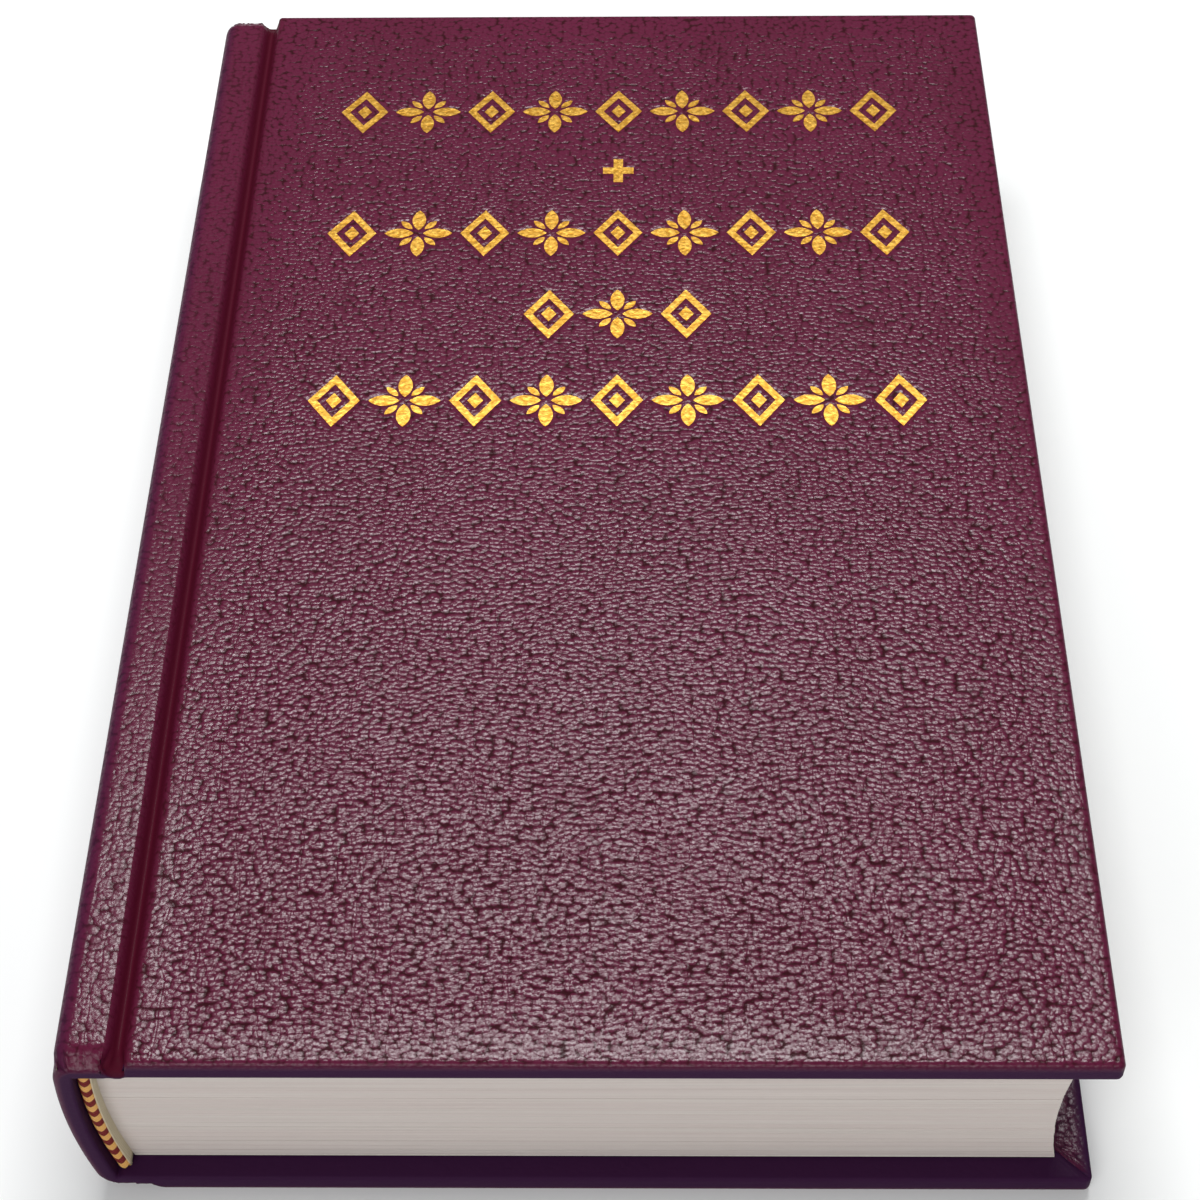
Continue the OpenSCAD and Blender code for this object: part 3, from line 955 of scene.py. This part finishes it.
def make_headband(end, materials):
    """Silk wound over a cord: zigzag stripes, frayed where it was cut, on a cloth tape."""
    node = "headband_head" if end == HEAD else "headband_tail"
    path_r, y, low_a, high_a = headband_line(node, end)
    draw = random.Random(HEADBAND_SEED + end)
    parts = Parts()
    core_r = HEADBAND_D / 2 - 2 * WRAP_R + CORD_BITE
    angles = np.linspace(low_a, high_a, BEAD_STATIONS)

    def at(angle, out, along_y):
        r = path_r + out
        return (round_x - r * math.cos(angle), y + end * along_y, round_z + r * math.sin(angle))

    core = [at(a, 0, 0) for a in angles]
    parts.add(*tube(core, core_r, sides=12, closed=False), CORD)
    wraps = int((high_a - low_a) * path_r / WRAP)
    for k in range(wraps):
        middle = low_a + (k + 0.5) * WRAP / path_r
        colour = RED_SILK if (k // WRAPS_PER_COLOUR) % 2 else GOLD_SILK
        loop = []
        wrap_r = HEADBAND_D / 2 - WRAP_R + draw.uniform(-0.03, 0.02)
        lean = draw.uniform(-0.04, 0.04)
        for a in np.linspace(-math.pi, math.pi, LOOP_POINTS, endpoint=False):
            chevron = CHEVRON * abs(a) / math.pi - 0.4 + lean * math.sin(a)
            loop.append(at(middle + chevron / path_r, wrap_r * math.sin(a), wrap_r * math.cos(a)))
        parts.add(*tube(loop, WRAP_R, sides=6, closed=True), colour)
    for k in range(FRAYED_STRANDS):
        turn = draw.uniform(0, 2 * math.pi)
        out, rise = FRAY_R * math.sin(turn), FRAY_R * math.cos(turn)
        reach = draw.uniform(*STRAND_LENGTHS)
        strand = [at(low_a + (0.5 - reach * t) / path_r,
                     out * (1 + 0.5 * t) + draw.uniform(-0.04, 0.04), rise * (1 + 0.35 * t))
                  for t in np.linspace(0, 1, 5)]
        parts.add(*tube(strand, STRAND_R, sides=5, closed=False), TAPE if k % 4 else GOLD_SILK)
    tape = [at(a, out, along_y) for a in angles for out, along_y in TAPE_SECTION]
    faces = ring_faces(len(angles), len(TAPE_SECTION))
    faces += [[3, 2, 1, 0], [len(tape) - 4 + k for k in range(4)]]
    parts.add(tape, faces, TAPE)
    obj = parts.build(node + "_silk", materials)
    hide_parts(node)
    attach(obj, "text_block")


# ---- the stiffener and the gold ----

INLAY_TRIM = 1.2
GOLD_SINK = 0.03


def copy_of(node, name, material):
    """A piece that starts from the mesh of a CAD node."""
    obj = bpy.data.objects.new(name, frame["nodes"][node].data.copy())
    bpy.context.scene.collection.objects.link(obj)
    obj.data.materials.clear()
    obj.data.materials.append(material)
    return obj


def make_inlay(material):
    """The spine's stiffener, its two shoulders trimmed to let the leather sink over their ends."""
    obj = copy_of("spine_inlay", "spine_stiffener", material)
    for vertex in obj.data.vertices:
        z = vertex.co.z / MM
        for outside, sign in ((book_t - LEATHER_T, 1), (LEATHER_T, -1)):
            if abs(z - outside) < 0.6 * INLAY_TRIM:
                vertex.co.z -= sign * INLAY_TRIM * MM
    return obj


def make_gold(material):
    """The tooled motifs, pressed a little below the grain."""
    obj = copy_of("front_gilding", "gold_tooling", material)
    points = np.zeros(len(obj.data.vertices) * 3, np.float32)
    obj.data.vertices.foreach_get("co", points)
    points[2::3] -= GOLD_SINK * MM
    obj.data.vertices.foreach_set("co", points)
    obj.data.update()
    return obj


# ---- materials ----

def leather_material():
    """Dyed leather with painted shade: darker in its creases and groove, dark purple on the rounded spine and past
    the edges, with a patchy shine on the pebbles.
    """
    material, n, bsdf = new_material(
        "burgundy_leather", Roughness=0.7, Specular_IOR_Level=0.1, Coat_Roughness=0.2, Coat_IOR=1.6)
    sheet = n.stored("sheet", "Vector")
    dull_and_shaded, strength, groove = n.stored("dull_and_shaded"), n.stored("grain"), n.stored("groove")
    height = grain_height(n, sheet)
    fibre = n.noise(sheet, scale=7.0, detail=3.0, rough=0.6)
    patch = n.noise(sheet, scale=0.035, detail=2.0)
    grained = n.span(strength, 0.12, 0.5)
    creases = n.times(n.rest(n.span(height, 0.15, 0.7)), grained)
    dye_and_shade = n.tint(patch, linear(94, 14, 52), linear(82, 10, 42))
    # painted shade: the pebbles' creases are darkened as if shadowed
    dye_and_shade = n.tint(creases, dye_and_shade, linear(50, 1, 14))
    # painted shade: the groove is darkened as if shadowed
    dye_and_shade = n.tint(groove, dye_and_shade, linear(72, 4, 28))
    # painted shade: dark purple on the rounded spine, past the edges and on the hidden lining
    set_colour(n, bsdf, dull_and_shaded, dye_and_shade, linear(52, 18, 54))
    n.put(bsdf.inputs["Roughness"], n.span(fibre, 0.3, 0.7, to_low=0.62, to_high=0.8))
    speckle = n.span(n.noise(sheet, scale=2.6, detail=2.0), 0.35, 0.65, to_low=0.25, to_high=1.0)
    on_top = n.times(n.rest(n.times(creases, 0.75)), speckle)
    shine = n.times(on_top, n.rest(n.math("MAXIMUM", dull_and_shaded, groove)))
    n.put(bsdf.inputs["Coat Weight"], n.plus(n.times(shine, 0.6), 0.015))
    relief = n.plus(height, n.times(fibre, 0.02))
    set_bump(n, bsdf, n.times(relief, strength), distance_mm=0.14)
    n.put(bsdf.inputs["Coat Normal"], bsdf.inputs["Normal"].links[0].from_socket)
    return material


def gold_material():
    """Gold leaf, a little mottled and dented."""
    material, n, bsdf = new_material("gold_foil", Metallic=1.0, Roughness=0.3)
    where = object_mm(n)
    grain = n.noise(where, scale=1.4, detail=3.0)
    speck = n.noise(where, scale=6.0, detail=2.0)
    set_colour(n, bsdf, n.span(grain, 0.35, 0.65), linear(190, 138, 50), linear(226, 178, 82))
    n.put(bsdf.inputs["Roughness"], n.span(speck, 0.3, 0.7, to_low=0.3, to_high=0.5))
    set_bump(n, bsdf, n.plus(grain, n.times(speck, 0.35)), distance_mm=0.08)
    return material


def page_material():
    """Paper seen mostly from its cut edges: fine lines that keep to their leaves as they turn."""
    material, n, bsdf = new_material("page_edges", Roughness=0.75, Specular_IOR_Level=0.25)
    where = n.stored("closed", "Vector")
    leaves = n.noise(n.scaled(where, (0.02, 0.02, 6.5)), scale=1.0, detail=2.0)
    bands = n.noise(n.scaled(where, (0.012, 0.012, 1.1)), scale=1.0, detail=2.0)
    fibre = n.noise(where, scale=3.0, detail=3.0)
    tone = n.tint(n.span(leaves, 0.3, 0.7), linear(204, 194, 188), linear(215, 206, 200))
    set_colour(n, bsdf, n.times(n.span(bands, 0.35, 0.65), 0.4), tone, linear(208, 192, 188))
    set_bump(n, bsdf, n.plus(leaves, n.times(fibre, 0.3)), distance_mm=0.012)
    return material


def paper_material(name, tone, fleck):
    """A sheet of paper with a faint fibre pattern."""
    material, n, bsdf = new_material(name, Roughness=0.8, Specular_IOR_Level=0.25)
    where = object_mm(n)
    fibre = n.noise(where, scale=2.2, detail=4.0, rough=0.65)
    set_colour(n, bsdf, n.span(fibre, 0.3, 0.7), tone, fleck)
    set_bump(n, bsdf, fibre, distance_mm=0.02)
    return material


def board_material():
    """Grey millboard with a pulpy surface."""
    material, n, bsdf = new_material("grey_board", Roughness=0.85, Specular_IOR_Level=0.2)
    where = object_mm(n)
    fibre = n.noise(n.drift(where, scale=0.6, amount=1.4), scale=1.5, detail=4.0, rough=0.7)
    set_colour(n, bsdf, n.span(fibre, 0.3, 0.7), linear(120, 112, 100), linear(158, 148, 132))
    set_bump(n, bsdf, fibre, distance_mm=0.06)
    return material


def weave_height(n, where, pitch):
    """Crossed threads with holes between them, for cloth."""
    parts = n.add("ShaderNodeSeparateXYZ", {"Vector": where})
    threads = [n.math("ABSOLUTE", n.math("SINE", n.times(parts.outputs[axis], math.pi / pitch)))
               for axis in ("X", "Y")]
    return n.math("MAXIMUM", *threads)


def mull_material():
    """Open-woven cloth."""
    material, n, bsdf = new_material("mull_cloth", Roughness=0.9, Specular_IOR_Level=0.15)
    where = n.drift(object_mm(n), scale=0.5, amount=0.2)
    weave = weave_height(n, where, pitch=0.8)
    set_colour(n, bsdf, n.span(weave, 0.5, 0.95), linear(150, 140, 120), linear(226, 220, 204))
    set_bump(n, bsdf, weave, distance_mm=0.1)
    return material


def thread_material(name, dark, light):
    """Twisted thread: slanting strands and a soft shine."""
    material, n, bsdf = new_material(name, Roughness=0.5, Specular_IOR_Level=0.4)
    where = object_mm(n)
    strands = n.add("ShaderNodeTexWave", {
        "Vector": where, "Scale": 2.6, "Distortion": 1.2, "Detail": 2.0}, bands_direction="DIAGONAL")
    twist = strands.outputs["Fac"]
    set_colour(n, bsdf, twist, dark, light)
    set_bump(n, bsdf, twist, distance_mm=0.04)
    return material


def floor_material():
    """A pale studio floor, barely clouded."""
    material, n, bsdf = new_material("pale_floor", Roughness=0.6, Specular_IOR_Level=0.3)
    where = object_mm(n)
    haze = n.noise(where, scale=0.004, detail=2.0)
    set_colour(n, bsdf, haze, linear(246, 248, 248), linear(250, 251, 250))
    return material


# ---- the book's pieces ----

leather = leather_material()
page = page_material()
endpaper = paper_material("endpaper", linear(228, 222, 210), linear(238, 233, 222))
kraft = paper_material("kraft_paper", linear(150, 112, 70), linear(176, 138, 92))
board = board_material()
mull = mull_material()
linen = thread_material("linen_thread", linear(196, 186, 160), linear(228, 220, 200))
silk = [
    thread_material("gold_silk", linear(226, 150, 66), linear(255, 214, 130)),
    thread_material("red_silk", linear(92, 6, 12), linear(150, 24, 24)),
    thread_material("headband_cord", linear(150, 120, 80), linear(190, 160, 110)),
    thread_material("headband_tape", linear(190, 172, 140), linear(222, 208, 178)),
]
gold = gold_material()


def paint(material, *names):
    """Gives CAD nodes a material of the scene."""
    for name in names:
        slots = frame["nodes"][name].data.materials
        slots.clear()
        slots.append(material)


paint(board, "front_board", "back_board")
paint(mull, "spine_mull", "front_mull_flap", "back_mull_flap")
paint(kraft, "kraft_lining")
paint(linen, "sewing_thread")

halves = make_leather(leather)
for side, body, covered in (
    (FRONT, "front_cover", ("front_leather", "front_joint_leather", "spine_leather")),
    (BACK, "back_cover", ("back_leather", "back_joint_leather", "spine_turn_ins")),
):
    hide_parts(*covered)
    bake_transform(halves[side])

stiffener = make_inlay(board)
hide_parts("spine_inlay")
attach(stiffener, "text_block")

gold_tooling = make_gold(gold)
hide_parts("front_gilding")
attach(gold_tooling, "front_cover")

bodies = frame["record"]["behaviour"]["bodies"]
for k in range(1, 21):
    node = f"section_{k:02d}"
    low, high = box_mm(node)
    turning = node in bodies
    leaves = leaf_stack(f"{node}_leaves", low[2], high[2], BUNDLES, turning, page, seed=k)
    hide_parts(node)
    if turning:
        turn_with(leaves)
    else:
        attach(leaves, "text_block")

for side, prefix in ((FRONT, "front"), (BACK, "back")):
    pastedown = make_pastedown(side, prefix, endpaper)
    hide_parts(f"{prefix}_pastedown")
    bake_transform(pastedown)
    low, high = box_mm(f"{prefix}_flyleaf")
    flyleaf = leaf_stack(f"{prefix}_flyleaf_sheet", low[2], high[2], bundles=1, turning=True,
                         material=endpaper, seed=FLYLEAF_SEED + side)
    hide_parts(f"{prefix}_flyleaf", f"sewn_gutter_{prefix}")
    turn_with(flyleaf)

for end in (TAIL, HEAD):
    make_headband(end, silk)


# ---- studio ----

FLOOR_HALF = 3000


def make_floor():
    """The floor that the book lies on."""
    corners = [(x * FLOOR_HALF, y * FLOOR_HALF, 0.0) for x, y in ((-1, -1), (1, -1), (1, 1), (-1, 1))]
    obj = new_object("floor", corners, [[0, 1, 2, 3]], floor_material())


def area_light(name, place, target, size, power):
    """A rectangular light that faces a target; lengths in metres and power in watts."""
    data = bpy.data.lights.new(name, "AREA")
    data.shape = "RECTANGLE"
    data.size, data.size_y = size
    data.energy = power
    light = bpy.data.objects.new(name, data)
    light.location = place
    light.rotation_euler = (Vector(target) - Vector(place)).to_track_quat("-Z", "Y").to_euler()
    bpy.context.scene.collection.objects.link(light)


make_floor()
area_light("key_light", place=(0.0, 0.27, 0.64), target=(0.0, 0.08, 0), size=(0.40, 0.20), power=3.8)
area_light("fill_light", place=(-0.4, -1.30, 1.10), target=(0, 0, 0), size=(1.6, 1.2), power=14)

world = bpy.data.worlds.new("room")
world.use_nodes = True
background = world.node_tree.nodes["Background"]
background.inputs["Color"].default_value = (0.96, 0.98, 1.0, 1)
background.inputs["Strength"].default_value = 0.24
bpy.context.scene.world = world
bpy.context.scene.view_settings.view_transform = "Standard"

camera_data = bpy.data.cameras.new("camera")
camera_data.lens = 74.104
camera_data.sensor_width = 36
camera_data.clip_start = 0.01
camera = bpy.data.objects.new("camera", camera_data)
camera.location = (0.006072, -0.243331, 0.288129)
camera.rotation_euler = [math.radians(a) for a in (39.8996, 0.6568, 0.4869)]
bpy.context.scene.collection.objects.link(camera)
bpy.context.scene.camera = camera
